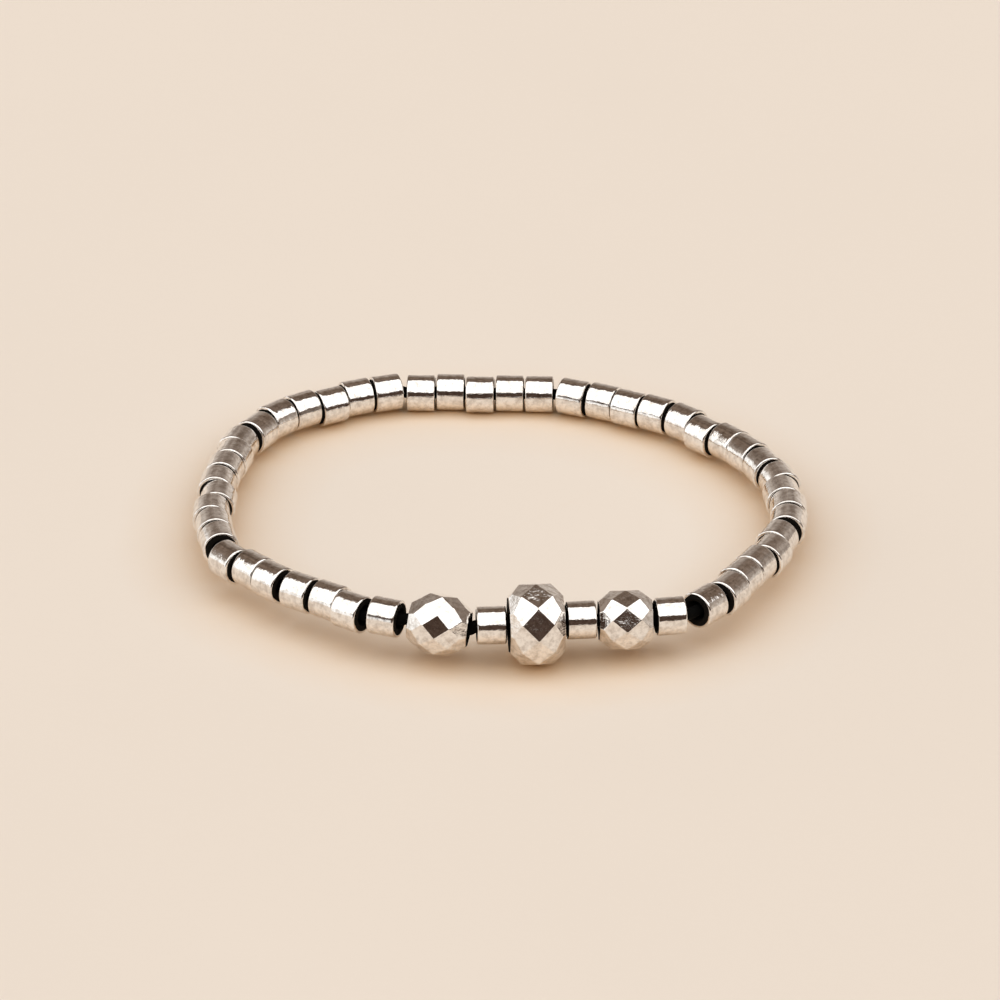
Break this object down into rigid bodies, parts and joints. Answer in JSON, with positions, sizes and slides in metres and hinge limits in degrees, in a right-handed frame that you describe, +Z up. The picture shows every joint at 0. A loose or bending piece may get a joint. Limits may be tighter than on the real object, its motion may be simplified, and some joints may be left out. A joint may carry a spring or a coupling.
{
  "type": "stackable ring",
  "caption": "Stretch finger ring of small silver-plated cylinder beads on an elastic thread, with a faceted rondelle flanked by smaller faceted beads, lying flat.",
  "frame": {"origin": "on the surface that the ring lies on, under the middle of its box", "axes": "+Z up, out through the finger hole; -Y towards the faceted beads at the front; +X to the right seen from the front"},
  "size_m": [0.0218, 0.0202, 0.003],
  "materials": {
    "silver_plate": "polished silver plate over a matt black bead",
    "elastic_black": "matt"
  },
  "bodies": {
    "root": {"faceted_rondelle": "silver_plate", "spacer_bead_right": "silver_plate", "small_faceted_bead_right": "silver_plate", "cylinder_bead_01": "silver_plate", "cylinder_bead_02": "silver_plate", "cylinder_bead_03": "silver_plate", "cylinder_bead_04": "silver_plate", "cylinder_bead_05": "silver_plate", "cylinder_bead_06": "silver_plate", "cylinder_bead_07": "silver_plate", "cylinder_bead_08": "silver_plate", "cylinder_bead_09": "silver_plate", "cylinder_bead_10": "silver_plate", "cylinder_bead_11": "silver_plate", "cylinder_bead_12": "silver_plate", "cylinder_bead_13": "silver_plate", "cylinder_bead_14": "silver_plate", "cylinder_bead_15": "silver_plate", "cylinder_bead_16": "silver_plate", "cylinder_bead_17": "silver_plate", "cylinder_bead_18": "silver_plate", "cylinder_bead_19": "silver_plate", "cylinder_bead_20": "silver_plate", "cylinder_bead_21": "silver_plate", "cylinder_bead_22": "silver_plate", "cylinder_bead_23": "silver_plate", "cylinder_bead_24": "silver_plate", "cylinder_bead_25": "silver_plate", "cylinder_bead_26": "silver_plate", "cylinder_bead_27": "silver_plate", "cylinder_bead_28": "silver_plate", "cylinder_bead_29": "silver_plate", "cylinder_bead_30": "silver_plate", "cylinder_bead_31": "silver_plate", "cylinder_bead_32": "silver_plate", "cylinder_bead_33": "silver_plate", "cylinder_bead_34": "silver_plate", "cylinder_bead_35": "silver_plate", "cylinder_bead_36": "silver_plate", "cylinder_bead_37": "silver_plate", "cylinder_bead_38": "silver_plate", "cylinder_bead_39": "silver_plate", "cylinder_bead_40": "silver_plate", "cylinder_bead_41": "silver_plate", "cylinder_bead_42": "silver_plate", "cylinder_bead_43": "silver_plate", "cylinder_bead_44": "silver_plate", "cylinder_bead_45": "silver_plate", "cylinder_bead_46": "silver_plate", "small_faceted_bead_left": "silver_plate", "spacer_bead_left": "silver_plate", "elastic_thread": "elastic_black"}
  },
  "joints": []
}
